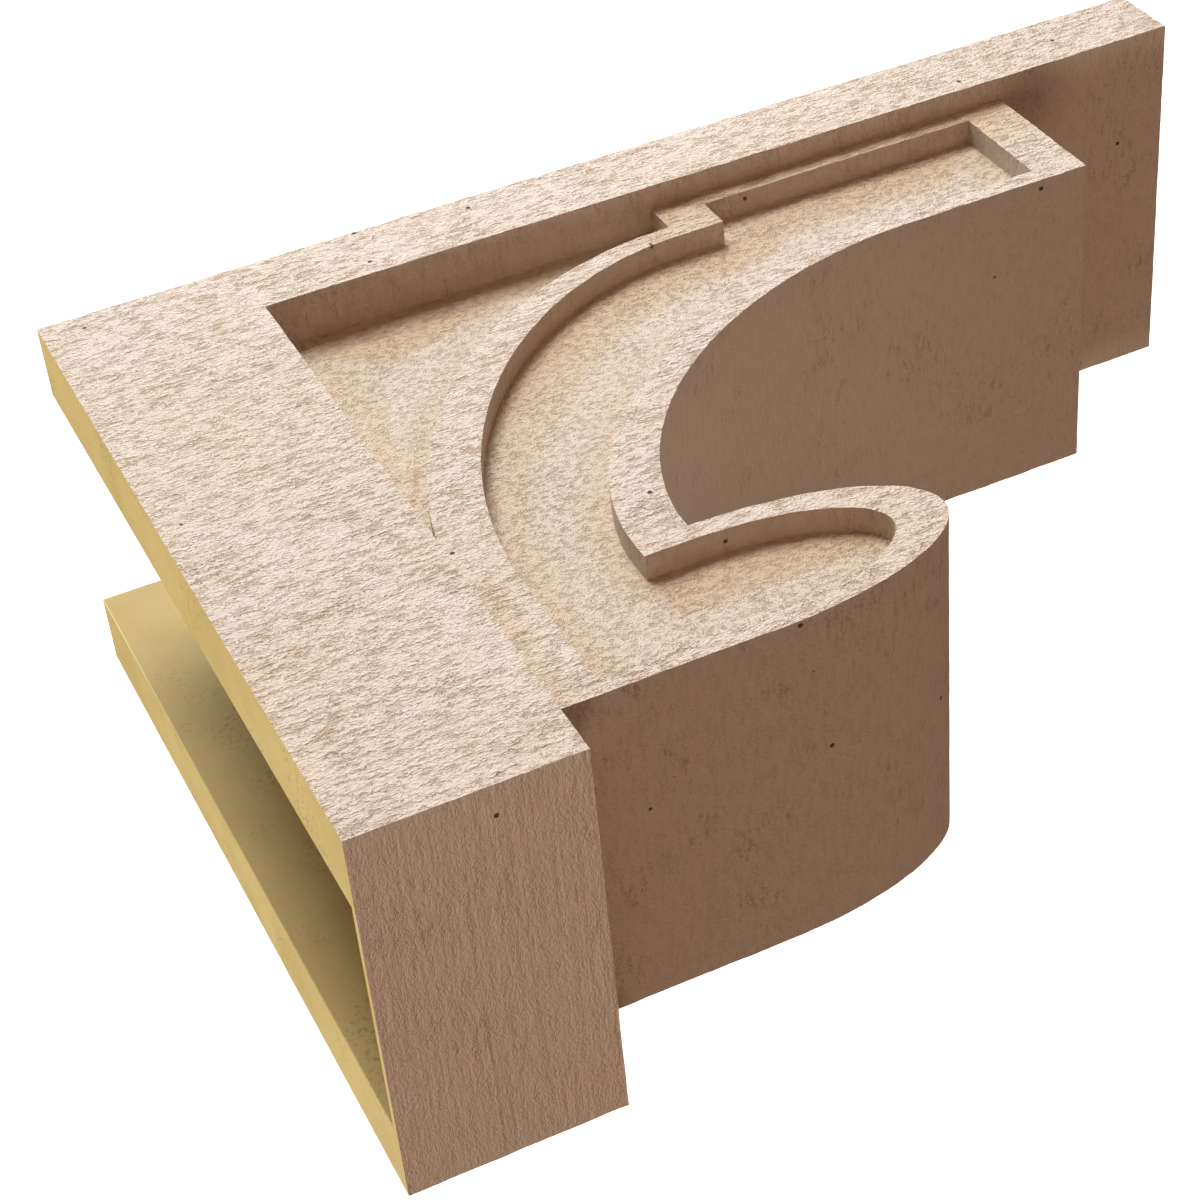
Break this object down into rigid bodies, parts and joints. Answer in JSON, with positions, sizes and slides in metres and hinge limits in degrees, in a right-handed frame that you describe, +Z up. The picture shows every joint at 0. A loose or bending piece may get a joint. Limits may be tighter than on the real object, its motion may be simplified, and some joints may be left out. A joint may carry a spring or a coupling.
{
  "type": "corbel",
  "caption": "Hollow moulded corbel: square top block on a long wall plate, joined by a scrolled body with sunk side panels, for fixing to a wall under a shelf, beam or eave.",
  "frame": {"origin": "middle of the top edge at the wall: the point where the mid-plane, the top face and the wall meet", "axes": "+Z up along the wall, +Y into the wall, +X across, to the right-hand side of a person facing the wall"},
  "size_m": [0.1524, 0.3048, 0.4572],
  "materials": {
    "moulded_foam": "primed, rough sawn texture"
  },
  "bodies": {
    "root": {"corbel": "moulded_foam"}
  },
  "joints": []
}
